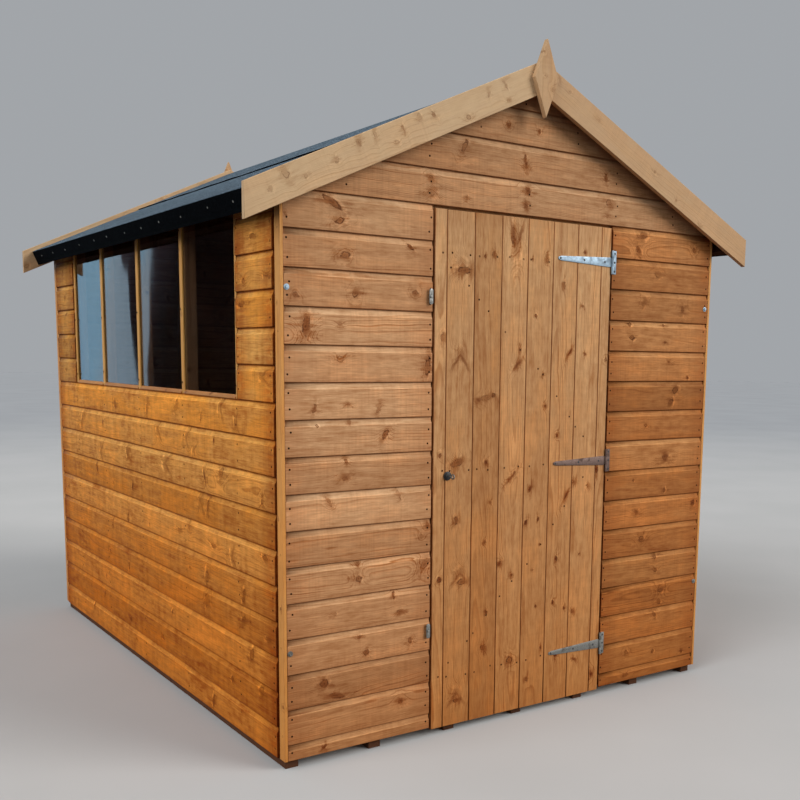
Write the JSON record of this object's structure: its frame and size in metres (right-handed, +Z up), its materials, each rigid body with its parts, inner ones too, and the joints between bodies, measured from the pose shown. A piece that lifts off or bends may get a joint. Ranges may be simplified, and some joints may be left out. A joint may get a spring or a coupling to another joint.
{
  "type": "wooden garden shed",
  "caption": "Apex-roofed timber garden shed with shiplap walls, a hinged plank door, a row of fixed panes under one eave, a felted roof, bargeboards and diamond finials.",
  "frame": {"origin": "on the level floor, under the centre of the outer box", "axes": "+Z up, -Y out of the front (door) gable, +X to the right seen from the front; the ridge runs along Y"},
  "size_m": [2.114, 2.6314, 2.31],
  "materials": {
    "end_cladding": "treated shiplap, pinkish tan",
    "side_cladding": "treated shiplap, honey brown",
    "door_wood": "treated tongue-and-groove boards, knotty",
    "treated_trim": "treated battens, yellow tan",
    "bare_trim": "untreated pine, pale",
    "frame_wood": "sawn framing",
    "bearer_wood": "red-brown sawn bearers",
    "felt": "mineral-faced bitumen felt",
    "glass": "clear",
    "zinc": "bright zinc plate, dulled in places",
    "black_metal": "black"
  },
  "bodies": {
    "shed": {"floor_bearers": "bearer_wood", "floor_boards": "frame_wood", "front_cladding_left": "end_cladding", "front_cladding_right": "end_cladding", "front_gable_cladding": "end_cladding", "back_cladding": "end_cladding", "right_cladding": "side_cladding", "left_cladding_lower": "side_cladding", "left_cladding_front": "side_cladding", "left_cladding_back": "side_cladding", "left_cladding_top": "side_cladding", "front_posts": "frame_wood", "front_rails": "frame_wood", "front_rafters": "frame_wood", "back_posts": "frame_wood", "back_rails": "frame_wood", "back_rafters": "frame_wood", "right_posts": "frame_wood", "right_rails": "frame_wood", "left_posts": "frame_wood", "left_rails": "frame_wood", "door_stops": "frame_wood", "window_sill": "treated_trim", "window_glass": "glass", "window_beads": "treated_trim", "roof_deck_left": "frame_wood", "roof_deck_right": "frame_wood", "eave_rails": "frame_wood", "roof_purlins": "frame_wood", "felt_left": "felt", "felt_right": "felt", "felt_ridge": "felt", "front_bargeboard_left": "bare_trim", "front_bargeboard_right": "bare_trim", "back_bargeboard_left": "bare_trim", "back_bargeboard_right": "bare_trim", "front_finial": "bare_trim", "back_finial": "bare_trim", "corner_strips": "treated_trim", "hinge_plates": "zinc", "turn_button_screws": "zinc"},
    "door": {"door_boards": "door_wood", "door_ledges": "frame_wood", "door_braces": "frame_wood", "hinge_straps": "zinc", "door_lock": "black_metal", "door_key": "zinc"},
    "turn_button_upper": {"turn_button_upper": "zinc"},
    "turn_button_lower": {"turn_button_lower": "zinc"}
  },
  "joints": [
    {"name": "door_hinge", "type": "hinge", "parent": "shed", "child": "door", "pos_m": [0.388, -1.2453, 0.9], "axis": [0, 0, 1], "range_deg": [0, 165]},
    {"name": "turn_button_upper_turn", "type": "hinge", "parent": "shed", "child": "turn_button_upper", "pos_m": [-0.403, -1.2478, 1.469], "axis": [0, -1, 0], "range_deg": [-90, 90]},
    {"name": "turn_button_lower_turn", "type": "hinge", "parent": "shed", "child": "turn_button_lower", "pos_m": [-0.403, -1.2478, 0.372], "axis": [0, -1, 0], "range_deg": [-90, 90]}
  ]
}
